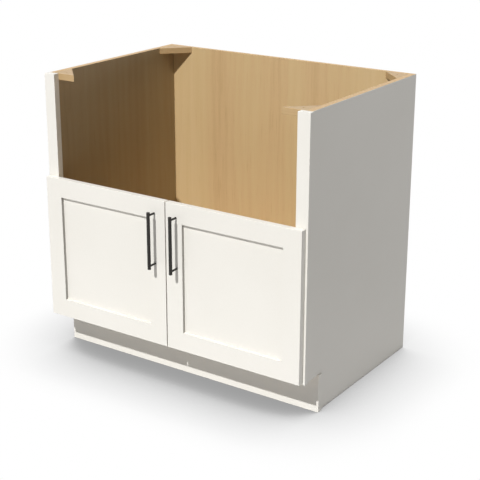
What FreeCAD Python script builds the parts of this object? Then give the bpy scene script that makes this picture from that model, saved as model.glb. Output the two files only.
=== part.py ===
import FreeCAD, Part
import math
import os

import Sketcher
from FreeCAD import Placement, Rotation, Vector

# Sink base cabinet for an apron-front sink: a plywood box with a face frame, two
# overlay doors on concealed cup hinges, bar pulls and a recessed toe board.
# +X is to the right, +Y to the back (the wall) and +Z up. The origin is on the floor,
# in the middle of the footprint. Lengths are in millimetres.

SIZES = (
    # carcase
    ("cabinet_width", 914.4, "over the face frame"),
    ("cabinet_depth", 609.6, "face frame front to cabinet back"),
    ("cabinet_height", 876.3, "floor to counter underside"),
    ("side_thickness", 18.0, "side panels"),
    ("frame_overhang", 4.8, "face frame past each side panel"),
    ("back_thickness", 12.7, "back panel"),
    ("back_rabbet", 9.0, "how far the back runs into each side panel"),
    ("floor_thickness", 12.7, "cabinet floor"),
    ("floor_dado", 6.0, "how far the floor runs into each side panel"),
    ("toe_height", 114.3, "floor to underside of the face frame"),
    ("toe_recess", 76.2, "toe board behind the face frame front"),
    ("toe_thickness", 19.05, "toe board"),
    ("toe_support_thickness", 12.7, "board behind the toe board, under the floor panel"),
    ("corner_leg", 76.2, "corner block along each wall"),
    ("corner_thickness", 19.05, "corner block"),
    ("corner_hole", 5.0, "counter screw hole, diameter"),
    ("corner_hole_inset", 25.4, "counter screw hole from each wall"),
    # face frame
    ("frame_thickness", 19.05, "stiles and rails"),
    ("stile_width", 38.1, "face frame stile"),
    ("bottom_rail_height", 38.1, "face frame bottom rail"),
    ("apron_rail_height", 38.1, "rail under the sink apron"),
    ("tenon_length", 22.0, "rail tenon into the stile"),
    ("tenon_thickness", 6.35, "rail tenon"),
    ("tenon_shoulder", 6.35, "rail edge to tenon edge"),
    ("glue_gap", 0.1, "clearance round a tenon or panel edge in its slot"),
    ("end_gap", 0.8, "clearance at the end of a tenon or panel"),
    # doors
    ("door_height", 444.5, "both doors"),
    ("door_thickness", 19.05, "door stiles and rails"),
    ("door_reveal", 6.35, "face frame seen beside each door"),
    ("door_gap", 3.175, "between the two doors"),
    ("bottom_overlay", 31.75, "door over the bottom rail"),
    ("apron_drop", 12.7, "top of the apron rail below the door top"),
    ("door_frame_width", 57.15, "door stiles and rails"),
    ("panel_thickness", 6.35, "door centre panel"),
    ("panel_setback", 9.525, "centre panel behind the door front"),
    ("groove_depth", 9.5, "groove in the door stiles and rails"),
    ("bumper_thickness", 1.6, "door bumper, which sets the gap to the frame"),
    ("bumper_size", 9.0, "door bumper, each way"),
    ("bumper_inset", 10.0, "bumper from the door edges"),
    # bar pulls
    ("bar_diameter", 10.0, "pull bar"),
    ("bar_length", 171.45, "pull bar"),
    ("bar_standoff", 28.0, "door front to bar axis"),
    ("bar_inset", 36.8, "meeting edge of the door to bar axis"),
    ("bar_drop", 117.0, "door top to the middle of the bar"),
    ("post_spacing", 152.4, "pull screws, centre to centre"),
    ("post_diameter", 6.0, "pull post"),
    ("pull_screw_diameter", 4.0, "pull screw"),
    ("pull_screw_bite", 7.0, "pull screw into the post"),
    ("pull_screw_play", 0.3, "radial, pull screw in the door"),
    ("pull_head_diameter", 8.0, "low head of the pull screw"),
    ("pull_head_height", 1.3, "low head of the pull screw, behind the door"),
    # concealed hinges, measured from the inner front edge of the face frame stile
    ("hinge_inset", 50.8, "hinge centre from each end of the door opening"),
    ("arm_pivot_in", 3.2, "arm pivot from the stile edge, into the opening"),
    ("arm_pivot_forward", 5.2, "arm pivot in front of the face frame"),
    ("cup_pivot_out", 18.8, "cup pivot from the stile edge, over the stile"),
    ("cup_pivot_forward", 5.0, "cup pivot in front of the face frame"),
    ("pin_diameter", 2.5, "hinge pins"),
    ("pin_clearance", 0.05, "radial, link on a hinge pin"),
    ("hinge_side_play", 0.3, "between pieces that turn side by side"),
    ("cup_diameter", 35.0, "hinge cup, and its bore in the door"),
    ("cup_depth", 12.0, "hinge cup in the door"),
    ("cup_base", 1.2, "hinge cup under its pocket"),
    ("cup_edge", 6.0, "cup bore to the door edge"),
    ("cup_end_wall", 1.8, "hinge cup beyond each end of its pocket"),
    ("cup_pin_seat", 4.0, "cup pin into a notch at each side of the pocket"),
    ("arm_pocket_length", 11.0, "wide end of the pocket, for the arm's nose"),
    ("flange_thickness", 1.0, "hinge cup flange on the door back"),
    ("flange_width", 38.0, "hinge cup flange across the door stile"),
    ("flange_height", 52.0, "hinge cup flange along the door stile"),
    ("flange_corner", 13.0, "hinge cup flange corner cut"),
    ("link_width", 8.0, "gooseneck link along its pins"),
    ("link_half_height", 1.8, "gooseneck link at its arm pin"),
    ("eye_reach", 2.2, "link round each pin, to its flats"),
    ("neck_back", 3.0, "bend of the link from the cup pivot, along the door"),
    ("neck_drop", 6.4, "bend of the link from the cup pivot, into the cup"),
    ("neck_depth", 2.6, "link at its bend"),
    ("arm_cheek", 1.6, "cheeks and base of the arm"),
    ("arm_nose", 2.4, "arm round its pin, to its flats"),
    ("arm_depth", 7.5, "arm off the face frame stile"),
    ("arm_length", 17.0, "arm on the stile, front to back"),
    ("arm_setback", 1.2, "base of the arm behind the face frame front"),
    ("arm_slot_length", 9.0, "adjusting slot in the base of the arm, front to back"),
    ("arm_slot_play", 0.1, "hinge screw from each side of the adjusting slot"),
    ("arm_pin_proud", 0.2, "arm pin past each cheek"),
    ("hinge_screw_diameter", 4.0, "hinge screw shank"),
    ("hinge_screw_head", 7.0, "hinge screw head"),
    ("hinge_screw_head_height", 2.2, "hinge screw head"),
    ("hinge_screw_length", 20.0, "hinge screw under its head"),
)


class Size:
    """A length that carries its number and the sheet formula that gives it."""

    def __init__(self, value, formula):
        self.value = float(value)
        self.formula = formula

    @staticmethod
    def of(other):
        if isinstance(other, Size):
            return other
        return Size(other, "(%r)" % float(other))

    def __add__(self, other):
        other = Size.of(other)
        return Size(self.value + other.value, "(%s + %s)" % (self.formula, other.formula))

    def __sub__(self, other):
        other = Size.of(other)
        return Size(self.value - other.value, "(%s - %s)" % (self.formula, other.formula))

    def __mul__(self, other):
        other = Size.of(other)
        return Size(self.value * other.value, "(%s * %s)" % (self.formula, other.formula))

    def __truediv__(self, other):
        other = Size.of(other)
        return Size(self.value / other.value, "(%s / %s)" % (self.formula, other.formula))

    def __neg__(self):
        return Size.of(0) - self


class Sheet:
    """The spreadsheet of driving dimensions, one attribute for each alias."""

    def __init__(self, doc):
        sheet = doc.addObject("Spreadsheet::Sheet", "Sizes")
        for row, (alias, value, note) in enumerate(SIZES, start=1):
            sheet.set("A%d" % row, alias)
            sheet.set("B%d" % row, str(value))
            sheet.set("C%d" % row, note)
            sheet.setAlias("B%d" % row, alias)
            setattr(self, alias, Size(value, "Sizes." + alias))


doc = FreeCAD.newDocument("SinkBaseCabinet")
s = Sheet(doc)
nodes = []

LEFT, RIGHT = -1, 1
SIDES = (("left", LEFT), ("right", RIGHT))


# ---------------------------------------------------------------- modelling helpers

def keep(item, label):
    """Give a finished sub-part its label and put it on the list to write."""
    item.Label = label
    nodes.append(item)
    return item


def bind(item, **sizes):
    """Tie each named property of an object to its sheet formula."""
    for name, size in sizes.items():
        item.setExpression(name.replace("__", "."), Size.of(size).formula)


def ordered(low, high):
    """The same span, lower end first."""
    low, high = Size.of(low), Size.of(high)
    return (low, high) if low.value <= high.value else (high, low)


def span_box(piece, x, y, z):
    """Stretch a box between the two ends given on each axis."""
    for axis, side, (low, high) in zip("xyz", ("Length", "Width", "Height"),
                                       (ordered(*x), ordered(*y), ordered(*z))):
        bind(piece, **{"Placement__Base__" + axis: low, side: high - low})


def box(label, x, y, z):
    """A plain board."""
    board = doc.addObject("Part::Box", label)
    span_box(board, x, y, z)
    return keep(board, label)


def new_body(label):
    return keep(doc.addObject("PartDesign::Body", label), label)


def sketch_on(body, role, offset):
    """A sketch on one of the body's own origin planes, moved along its normal."""
    sketch = body.newObject("Sketcher::SketchObject", body.Name + "_sketch")
    plane = [item for item in body.Origin.OriginFeatures if item.Role == role][0]
    sketch.AttachmentSupport = [(plane, "")]
    sketch.MapMode = "FlatFace"
    bind(sketch, AttachmentOffset__Base__z=offset)
    return sketch


def fix_point(sketch, geometry, position, x, y):
    """Hold one point of a sketch at its distances from the sketch origin."""
    for kind, size in (("DistanceX", Size.of(x)), ("DistanceY", Size.of(y))):
        item = Sketcher.Constraint(kind, -1, 1, geometry, position, size.value)
        index = sketch.addConstraint(item)
        sketch.setExpression("Constraints[%d]" % index, size.formula)


def draw_outline(sketch, corners):
    """A closed outline of straight lines through the corners."""
    first = sketch.GeometryCount
    points = [Vector(Size.of(x).value, Size.of(y).value, 0) for x, y in corners]
    for start, end in zip(points, points[1:] + points[:1]):
        sketch.addGeometry(Part.LineSegment(start, end), False)
    for index, (x, y) in enumerate(corners):
        following = first + (index + 1) % len(corners)
        sketch.addConstraint(Sketcher.Constraint("Coincident", first + index, 2, following, 1))
        fix_point(sketch, first + index, 1, x, y)


def draw_circle(sketch, x, y, radius):
    radius = Size.of(radius)
    centre = Vector(Size.of(x).value, Size.of(y).value, 0)
    circle = sketch.addGeometry(Part.Circle(centre, Vector(0, 0, 1), radius.value), False)
    fix_point(sketch, circle, 3, x, y)
    index = sketch.addConstraint(Sketcher.Constraint("Radius", circle, radius.value))
    sketch.setExpression("Constraints[%d]" % index, radius.formula)


def rectangle(x, y):
    """The four corners of a rectangle, from its span on each axis."""
    (x0, x1), (y0, y1) = ordered(*x), ordered(*y)
    return [(x0, y0), (x1, y0), (x1, y1), (x0, y1)]


def extrude(body, kind, axis, low, high, outline=None, circles=()):
    """Add or cut a prism that runs from low to high along one axis."""
    low, high = ordered(low, high)
    role = {"x": "YZ_Plane", "y": "XZ_Plane", "z": "XY_Plane"}[axis]
    # The XZ plane's normal points along -Y, so its prisms start at their far end.
    sketch = sketch_on(body, role, -high if axis == "y" else low)
    if outline:
        draw_outline(sketch, outline)
    for circle in circles:
        draw_circle(sketch, *circle)
    feature = body.newObject(kind, body.Name + "_" + kind.split("::")[1].lower())
    feature.Profile = sketch
    # A pocket cuts against its sketch's normal unless it is reversed.
    feature.Reversed = kind == "PartDesign::Pocket"
    bind(feature, Length=high - low)
    return feature


def add(body, axis, low, high, **profile):
    return extrude(body, "PartDesign::Pad", axis, low, high, **profile)


def cut(body, axis, low, high, **profile):
    return extrude(body, "PartDesign::Pocket", axis, low, high, **profile)


def place(item, x, y, z, turned=False):
    """Move a sub-part that is drawn about its own origin; turned swaps left for right."""
    if turned:
        item.Placement = Placement(Vector(), Rotation(Vector(0, 1, 0), 180))
    bind(item, Placement__Base__x=x, Placement__Base__y=y, Placement__Base__z=z)


def stepped_piece(label, steps):
    """A round piece about its own Z axis, from steps of (radius, start, end)."""
    body = doc.addObject("PartDesign::Body", label)
    for radius, start, end in steps:
        add(body, "z", start, end, circles=[(0, 0, radius)])
    return body


def round_piece(label, radius, length):
    """A plain round piece that stands on its own origin."""
    piece = doc.addObject("Part::Cylinder", label)
    bind(piece, Radius=radius, Height=length)
    return piece


def group(label, make, places):
    """One node of identical loose pieces: (x, y, z, direction of the piece's own Z)."""
    pieces = []
    for number, (x, y, z, direction) in enumerate(places, start=1):
        piece = make("%s_%d" % (label, number))
        piece.Placement = Placement(Vector(), Rotation(Vector(0, 0, 1), Vector(*direction)))
        bind(piece, Placement__Base__x=x, Placement__Base__y=y, Placement__Base__z=z)
        pieces.append(piece)
    item = doc.addObject("Part::Compound", label)
    item.Links = pieces
    return keep(item, label)


# ---------------------------------------------------------------- shared places

half_width = s.cabinet_width / 2
overhang_front = s.bumper_thickness + s.door_thickness + s.bar_standoff + s.bar_diameter / 2
frame_front = (overhang_front - s.cabinet_depth) / 2
frame_back = frame_front + s.frame_thickness
cabinet_back = frame_front + s.cabinet_depth
back_front = cabinet_back - s.back_thickness

side_outer = half_width - s.frame_overhang
side_inner = side_outer - s.side_thickness
opening_half = half_width - s.stile_width

toe_front = frame_front + s.toe_recess
toe_back = toe_front + s.toe_thickness
opening_bottom = s.toe_height + s.bottom_rail_height
floor_top = opening_bottom
floor_bottom = floor_top - s.floor_thickness

door_bottom = opening_bottom - s.bottom_overlay
door_top = door_bottom + s.door_height
apron_rail_top = door_top - s.apron_drop
opening_top = apron_rail_top - s.apron_rail_height
door_back = frame_front - s.bumper_thickness
door_front = door_back - s.door_thickness
door_outer = half_width - s.door_reveal
door_inner = s.door_gap / 2

hinge_levels = (("lower", opening_bottom + s.hinge_inset), ("upper", opening_top - s.hinge_inset))
cup_radius = s.cup_diameter / 2
cup_axis = door_outer - s.cup_edge - cup_radius - opening_half
arm_screw_y = s.arm_setback + s.arm_length / 2
hinge_screw_tip = s.hinge_screw_length - s.arm_cheek

pull_x = door_inner + s.bar_inset
pull_z = door_top - s.bar_drop
pull_levels = (pull_z - s.post_spacing / 2, pull_z + s.post_spacing / 2)


# ---------------------------------------------------------------- box

def side_panel(name, side):
    """Side panel with its toe notch, floor dado and back rabbet."""
    body = new_body(name + "_side_panel")
    outline = [(frame_back, s.toe_height), (toe_back, s.toe_height), (toe_back, 0),
               (cabinet_back, 0), (cabinet_back, s.cabinet_height), (frame_back, s.cabinet_height)]
    add(body, "x", side_inner * side, side_outer * side, outline=outline)
    cut(body, "x", side_inner * side, (side_inner + s.floor_dado) * side,
        outline=rectangle((frame_back, back_front), (floor_bottom, floor_top)))
    cut(body, "x", side_inner * side, (side_inner + s.back_rabbet) * side,
        outline=rectangle((back_front, cabinet_back), (0, s.cabinet_height)))


def box_boards():
    """Floor, back and the two toe boards."""
    floor_half = side_inner + s.floor_dado - s.glue_gap
    box("floor_panel", (-floor_half, floor_half), (frame_back, back_front),
        (floor_bottom, floor_top))
    back_half = side_inner + s.back_rabbet - s.glue_gap
    box("back_panel", (-back_half, back_half), (back_front, cabinet_back),
        (0, s.cabinet_height))
    box("toe_kick_board", (-half_width, half_width), (toe_front, toe_back), (0, s.toe_height))
    support_half = side_inner - s.glue_gap
    box("toe_support_board", (-support_half, support_half),
        (toe_back, toe_back + s.toe_support_thickness), (0, floor_bottom))


def corner_block(name, side, wall, inward):
    """Triangular block in a top corner, drilled for a counter screw."""
    body = new_body(name + "_corner_block")
    corner_x = side_inner * side
    outline = [(corner_x, wall), (corner_x - s.corner_leg * side, wall),
               (corner_x, wall + s.corner_leg * inward)]
    hole = (corner_x - s.corner_hole_inset * side, wall + s.corner_hole_inset * inward,
            s.corner_hole / 2)
    add(body, "z", s.cabinet_height - s.corner_thickness, s.cabinet_height,
        outline=outline, circles=[hole])


# ---------------------------------------------------------------- face frame

def frame_stile(name, side):
    """Face frame stile, mortised for both rails and drilled for the hinge screws."""
    body = new_body(name + "_frame_stile")
    add(body, "z", s.toe_height, s.cabinet_height,
        outline=rectangle((opening_half * side, half_width * side), (frame_front, frame_back)))
    tenon_front = frame_front + (s.frame_thickness - s.tenon_thickness) / 2
    mortise_y = (tenon_front - s.glue_gap, tenon_front + s.tenon_thickness + s.glue_gap)
    mortise_end = (opening_half + s.tenon_length + s.end_gap) * side
    for low, high in ((s.toe_height, opening_bottom), (opening_top, apron_rail_top)):
        cut(body, "z", low + s.tenon_shoulder - s.glue_gap, high - s.tenon_shoulder + s.glue_gap,
            outline=rectangle((opening_half * side, mortise_end), mortise_y))
    cut(body, "x", opening_half * side, (opening_half + hinge_screw_tip + s.end_gap) * side,
        circles=[(frame_front + arm_screw_y, level, s.hinge_screw_diameter / 2)
                 for _, level in hinge_levels])


def frame_rail(name, low, high):
    """Face frame rail with a tenon on each end."""
    body = new_body(name)
    add(body, "x", -opening_half, opening_half,
        outline=rectangle((frame_front, frame_back), (low, high)))
    tenon_front = frame_front + (s.frame_thickness - s.tenon_thickness) / 2
    tenon_half = opening_half + s.tenon_length
    add(body, "x", -tenon_half, tenon_half,
        outline=rectangle((tenon_front, tenon_front + s.tenon_thickness),
                          (low + s.tenon_shoulder, high - s.tenon_shoulder)))


# ---------------------------------------------------------------- doors

groove_front = door_front + s.panel_setback
groove_back = groove_front + s.panel_thickness
groove_span = (groove_front - s.glue_gap / 2, groove_back + s.glue_gap / 2)


def door_stile(name, edge, inner, side):
    """Door stile, grooved along the edge that faces the panel."""
    body = new_body(name)
    add(body, "z", door_bottom, door_top,
        outline=rectangle((edge * side, inner * side), (door_front, door_back)))
    inward = 1 if inner.value > edge.value else -1
    cut(body, "z", door_bottom, door_top,
        outline=rectangle(((inner - s.groove_depth * inward) * side, inner * side), groove_span))
    return body


def hinge_stile(name, side):
    """Outer door stile, bored for the hinge cups."""
    body = door_stile(name + "_door_hinge_stile", door_outer, door_outer - s.door_frame_width, side)
    cut(body, "y", door_back - s.cup_depth, door_back,
        circles=[((opening_half + cup_axis) * side, level, cup_radius)
                 for _, level in hinge_levels])


def meeting_stile(name, side):
    """Inner door stile, drilled for the pull screws."""
    body = door_stile(name + "_door_meeting_stile", door_inner, door_inner + s.door_frame_width,
                      side)
    radius = s.pull_screw_diameter / 2 + s.pull_screw_play
    cut(body, "y", door_front, door_back,
        circles=[(pull_x * side, level, radius) for level in pull_levels])


def door_rail(label, side, low, high, grooved_at_top):
    """Door rail with a stub tenon on each end and a groove for the panel."""
    body = new_body(label)
    start = door_inner + s.door_frame_width
    end = door_outer - s.door_frame_width
    add(body, "z", low, high,
        outline=rectangle((start * side, end * side), (door_front, door_back)))
    tenon = s.groove_depth - s.end_gap
    add(body, "z", low, high,
        outline=rectangle(((start - tenon) * side, (end + tenon) * side),
                          (groove_front, groove_back)))
    groove = (high - s.groove_depth, high) if grooved_at_top else (low, low + s.groove_depth)
    cut(body, "z", *groove,
        outline=rectangle(((start - tenon) * side, (end + tenon) * side), groove_span))


def door_panel(name, side):
    """Centre panel, loose in the grooves of its frame."""
    reach = s.groove_depth - s.end_gap
    start = (door_inner + s.door_frame_width - reach) * side
    end = (door_outer - s.door_frame_width + reach) * side
    box(name + "_door_panel", (start, end), (groove_front, groove_back),
        (door_bottom + s.door_frame_width - reach, door_top - s.door_frame_width + reach))


def bumpers(name, side):
    """Two soft pads on the back of the door, at its meeting edge."""
    start = door_inner + s.bumper_inset
    low = door_bottom + s.bumper_inset
    high = apron_rail_top - s.bumper_inset - s.bumper_size

    def pad(label, bottom):
        piece = doc.addObject("Part::Box", label)
        span_box(piece, (start * side, (start + s.bumper_size) * side),
                 (door_back, frame_front), (bottom, bottom + s.bumper_size))
        return piece

    item = doc.addObject("Part::Compound", name + "_door_bumpers")
    item.Links = [pad(name + "_lower_bumper", low), pad(name + "_upper_bumper", high)]
    keep(item, name + "_door_bumpers")


# ---------------------------------------------------------------- bar pulls

def pull(name, side):
    """Round bar on two posts, held by screws from the back of the door."""
    radius = s.bar_diameter / 2
    bar = new_body(name + "_pull_bar")
    add(bar, "z", pull_z - s.bar_length / 2, pull_z + s.bar_length / 2,
        circles=[(pull_x * side, door_front - s.bar_standoff, radius)])

    bite = s.pull_screw_bite + s.end_gap
    thread = s.pull_screw_diameter / 2
    outer = s.post_diameter / 2
    length = s.bar_standoff - radius / 2

    def post(label):
        """A tapped post, its end hollowed to fit round the bar."""
        body = stepped_piece(label, [(outer, 0, length)])
        cut(body, "z", 0, bite, circles=[(0, 0, thread)])
        cut(body, "y", -outer, outer, circles=[(0, s.bar_standoff, radius)])
        return body

    group(name + "_pull_posts", post,
          [(pull_x * side, door_front, level, (0, -1, 0)) for level in pull_levels])

    reach = door_back - door_front + s.pull_screw_bite
    screw = [(s.pull_head_diameter / 2, -s.pull_head_height, 0), (thread, 0, reach)]
    group(name + "_pull_screws", lambda label: stepped_piece(label, screw),
          [(pull_x * side, door_back, level, (0, -1, 0)) for level in pull_levels])


# ---------------------------------------------------------------- concealed hinges
# Each hinge is drawn about the stile's inner front edge: x runs over the stile, y into
# the cabinet and z is 0 in the middle of the hinge. The left ones are turned round.
# The arm is screwed to the stile, its pin carries the gooseneck link, and the link's
# far end turns on the cup pin, so the door swings clear of the frame as it opens.

arm_pivot = (-s.arm_pivot_in, -s.arm_pivot_forward)
cup_pivot = (s.cup_pivot_out, -s.cup_pivot_forward)
pin_radius = s.pin_diameter / 2
link_half = s.link_width / 2
fork_half = link_half + s.hinge_side_play
arm_half = fork_half + s.arm_cheek
arm_pin_half = arm_half + s.arm_pin_proud
cup_pin_half = fork_half + s.cup_pin_seat
hinge_door_back = -s.bumper_thickness
octagon_side = math.tan(math.radians(22.5))


def hinge_arm(label):
    """Channel-shaped arm on the stile, slotted for its screw, with two cheeks for the arm pin."""
    body = new_body(label)
    x, y = arm_pivot
    nose = s.arm_nose
    bevel = nose * octagon_side
    front = s.arm_setback
    back = front + s.arm_length
    heel = -s.arm_depth
    add(body, "z", -arm_half, arm_half,
        outline=[(heel, back), (heel, front * 2), (x - nose, 0), (x - nose, y - bevel),
                 (x - bevel, y - nose), (x + bevel, y - nose), (x + nose, y - bevel),
                 (x + nose, 0), (0, front), (0, back)])
    cut(body, "z", -fork_half, fork_half,
        outline=rectangle((heel, -s.arm_cheek), (y - nose, back)))
    cut(body, "z", -fork_half, fork_half,
        outline=rectangle((-s.arm_cheek, 0), (y - nose, front)))
    cut(body, "z", -arm_half, arm_half, circles=[(x, y, pin_radius)])
    slot_half = s.hinge_screw_diameter / 2 + s.arm_slot_play
    cut(body, "x", -s.arm_cheek, 0,
        outline=rectangle((arm_screw_y - s.arm_slot_length / 2, arm_screw_y + s.arm_slot_length / 2),
                          (-slot_half, slot_half)))
    return body


def hinge_link(label):
    """Gooseneck link, bent to clear the cup's rim when the door is open."""
    body = new_body(label)
    x1, y1 = arm_pivot
    x2, y2 = cup_pivot
    h = s.link_half_height
    bend_x, bend_low = x2 - s.neck_back, y2 - s.neck_drop
    add(body, "z", -link_half, link_half,
        outline=[(x1, y1 + h), (x1, y1 - h), (bend_x, bend_low), (bend_x + h, bend_low + h / 2),
                 (x2 + h, y2), (x2 - h, y2), (bend_x, bend_low + s.neck_depth)])
    reach, side = s.eye_reach, s.eye_reach * octagon_side
    corners = ((reach, -side), (reach, side), (side, reach), (-side, reach),
               (-reach, side), (-reach, -side), (-side, -reach), (side, -reach))
    for x, y in (arm_pivot, cup_pivot):
        add(body, "z", -link_half, link_half, outline=[(x + u, y + v) for u, v in corners])
    for x, y in (arm_pivot, cup_pivot):
        cut(body, "z", -link_half, link_half, circles=[(x, y, pin_radius + s.pin_clearance)])
    return body


def hinge_cup(label):
    """Press-in cup: a pocket for the link and the arm's nose, pin notches and a flange."""
    body = new_body(label)
    x, y = cup_pivot
    top = hinge_door_back + s.flange_thickness
    bottom = hinge_door_back - s.cup_depth
    add(body, "y", bottom, hinge_door_back, circles=[(cup_axis, 0, cup_radius)])
    across, along, corner = s.flange_width / 2, s.flange_height / 2, s.flange_corner
    half_flange = [(cup_axis + across, along - corner), (cup_axis + across - corner, along),
                   (cup_axis - across + corner, along), (cup_axis - across, along - corner)]
    add(body, "y", hinge_door_back, top,
        outline=half_flange + [(u, -w) for u, w in reversed(half_flange)])
    start = cup_axis - cup_radius + s.cup_end_wall
    end = cup_axis + cup_radius - s.cup_end_wall
    nose_half = arm_pin_half + s.hinge_side_play
    cut(body, "y", bottom + s.cup_base, top,
        outline=rectangle((start, end), (-fork_half, fork_half)))
    cut(body, "y", bottom + s.cup_base, top,
        outline=rectangle((start, start + s.arm_pocket_length), (-nose_half, nose_half)))
    cut(body, "y", y - pin_radius, top,
        outline=rectangle((x - pin_radius, x + pin_radius), (-cup_pin_half, cup_pin_half)))
    return body


def hinges(name, side):
    """The two hinges of one door, each drawn closed."""
    for level_name, level in hinge_levels:
        for piece, make in (("arm", hinge_arm), ("link", hinge_link), ("cup", hinge_cup)):
            body = make("%s_%s_hinge_%s" % (name, level_name, piece))
            place(body, opening_half * side, frame_front, level, turned=side == LEFT)


def hinge_pins(name, side):
    """Arm pins and cup pins of one door's hinges."""
    for kind, (x, y), half in (("arm", arm_pivot, arm_pin_half),
                               ("cup", cup_pivot, cup_pin_half)):
        group("%s_hinge_%s_pins" % (name, kind),
              lambda label: round_piece(label, pin_radius, half * 2),
              [((opening_half + x) * side, frame_front + y, level - half, (0, 0, 1))
               for _, level in hinge_levels])


def hinge_screws():
    """One screw through the base of each arm into the stile."""
    screw = [(s.hinge_screw_head / 2, -s.hinge_screw_head_height, 0),
             (s.hinge_screw_diameter / 2, 0, s.hinge_screw_length)]
    seat = opening_half - s.arm_cheek
    group("hinge_screws", lambda label: stepped_piece(label, screw),
          [(seat * side, frame_front + arm_screw_y, level, (side, 0, 0))
           for _, side in SIDES for _, level in hinge_levels])


# ---------------------------------------------------------------- assembly

box_boards()
frame_rail("frame_bottom_rail", s.toe_height, opening_bottom)
frame_rail("frame_apron_rail", opening_top, apron_rail_top)
for name, side in SIDES:
    side_panel(name, side)
    frame_stile(name, side)
    corner_block("front_" + name, side, frame_back, 1)
    corner_block("back_" + name, side, back_front, -1)
    hinges(name, side)
    hinge_pins(name, side)
    hinge_stile(name, side)
    meeting_stile(name, side)
    door_rail(name + "_door_bottom_rail", side, door_bottom, door_bottom + s.door_frame_width, True)
    door_rail(name + "_door_top_rail", side, door_top - s.door_frame_width, door_top, False)
    door_panel(name, side)
    bumpers(name, side)
    pull(name, side)
hinge_screws()

doc.recompute()
for item in doc.Objects:
    if "Invalid" in item.State or "Error" in item.State:
        raise RuntimeError("%s failed: %s" % (item.Label, item.State))
for item in nodes:
    if item.Shape.isNull() or not item.Shape.isValid() or not item.Shape.Solids:
        raise RuntimeError("%s has no valid solid" % item.Label)

os.makedirs("parts", exist_ok=True)
for item in nodes:
    item.Shape.exportStep("parts/%s.step" % item.Label)
print("%d sub-parts, %d solids" % (len(nodes), sum(len(item.Shape.Solids) for item in nodes)))
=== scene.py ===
import logging
import math
from collections.abc import Callable, Sequence
from dataclasses import dataclass
from enum import Enum
from typing import Any

import bmesh
import bpy
import numpy as np
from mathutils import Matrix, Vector


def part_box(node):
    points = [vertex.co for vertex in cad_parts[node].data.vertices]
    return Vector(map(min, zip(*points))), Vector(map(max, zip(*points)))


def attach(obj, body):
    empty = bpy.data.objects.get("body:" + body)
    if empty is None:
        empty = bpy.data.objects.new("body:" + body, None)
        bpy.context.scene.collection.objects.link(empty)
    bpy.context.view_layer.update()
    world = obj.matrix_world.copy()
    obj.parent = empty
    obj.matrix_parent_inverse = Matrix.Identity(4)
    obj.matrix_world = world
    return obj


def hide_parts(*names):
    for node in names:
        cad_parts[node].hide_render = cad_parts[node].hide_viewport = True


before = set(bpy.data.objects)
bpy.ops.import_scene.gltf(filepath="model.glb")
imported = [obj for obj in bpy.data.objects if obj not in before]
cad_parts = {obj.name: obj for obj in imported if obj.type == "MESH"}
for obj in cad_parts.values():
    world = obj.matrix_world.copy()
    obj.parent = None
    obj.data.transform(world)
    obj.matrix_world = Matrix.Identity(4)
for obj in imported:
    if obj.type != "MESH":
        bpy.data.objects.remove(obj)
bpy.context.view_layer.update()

log = logging.getLogger("sink_base_cabinet")

MM = 0.001
SAME_POINT = 0.001 * MM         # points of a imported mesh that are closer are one
POINT_DIGITS = 7                # decimals of a metre that tell two new points apart
ON_OUTLINE = 0.01 * MM          # how far from an outline an edge still lies on it
ONE_PLANE = math.radians(0.3)   # faces that turn by less lie in one plane
FACET_LEAST = math.radians(1)   # the facets of a curved surface turn by more than this
ARRIS_LEAST = math.radians(30)  # and by less than this, where an arris starts
SMOOTH_MOST = math.radians(35)  # an edge that turns by more is shaded sharp
FACING = 0.7                    # least part of a unit normal along the way it looks
HUB = 0.02                      # the ring that closes a turned end, as a share of its radius
USUAL = (0.3, 0.7)              # the range that most of a noise keeps to

Socket = bpy.types.NodeSocket
Mesh = bpy.types.Mesh
Pair = tuple[float, float]
Point = tuple[float, float, float]
Box = tuple[Vector, Vector]
Rule = Callable[[np.ndarray], np.ndarray]


# -------- named choices

class Side(Enum):
    """The cabinet's two halves, as seen from the front."""

    LEFT = -1
    RIGHT = 1

    @property
    def word(self) -> str:
        """The side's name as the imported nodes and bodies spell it."""
        return self.name.lower()


class Axis(Enum):
    """The three axes of the shared frame."""

    X = 0
    Y = 1
    Z = 2


class Slot(Enum):
    """The record's material slots."""

    PAINT = "painted_wood"
    MAPLE = "maple_plywood"
    BLACK = "black_metal"
    STEEL = "hinge_steel"
    CLEAR = "clear_bumper"


# -------- colours and node trees

@dataclass(frozen=True)
class Tone:
    """A colour as it is seen, each part from 0 to 255."""

    red: float
    green: float
    blue: float

    def linear(self) -> tuple[float, float, float, float]:
        """The same colour as linear light, with full opacity.

        Returns:
            Red, green, blue and opacity from 0 to 1, by the usual screen curve: a short
            straight start, then the power 2.4.
        """
        seen = np.array([self.red, self.green, self.blue]) / 255
        light = np.where(seen <= 0.04045, seen / 12.92, ((seen + 0.055) / 1.055) ** 2.4)
        return (*light.tolist(), 1.0)


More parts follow.
